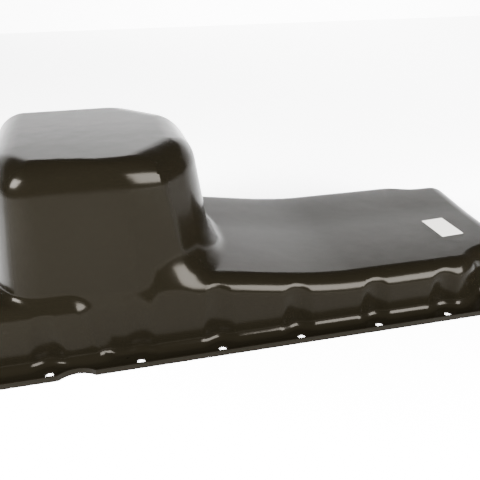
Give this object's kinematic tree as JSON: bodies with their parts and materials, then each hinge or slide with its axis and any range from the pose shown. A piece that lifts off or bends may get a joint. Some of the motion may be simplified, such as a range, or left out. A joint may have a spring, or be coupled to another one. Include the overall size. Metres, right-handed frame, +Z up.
{
  "type": "engine oil pan",
  "caption": "Pressed steel engine oil pan with a deep sump, a shallow tray, bolt notches, a turned-up flange lip and a drain plug, lying on its gasket face.",
  "frame": {"origin": "bottom centre of the bounding box, on the gasket face", "axes": "+X along the pan to its shallow end, +Y across it, +Z up, away from the gasket face"},
  "size_m": [0.573, 0.238, 0.172],
  "materials": {
    "black_paint": "gloss black paint over drawn steel sheet",
    "plug_steel": "zinc plated steel",
    "washer_aluminium": "soft plain aluminium",
    "label_paper": "matt white paper"
  },
  "bodies": {
    "root": {"pan_shell": "black_paint", "drain_boss": "black_paint", "drain_plug": "plug_steel", "plug_washer": "washer_aluminium", "paper_label": "label_paper"}
  },
  "joints": []
}
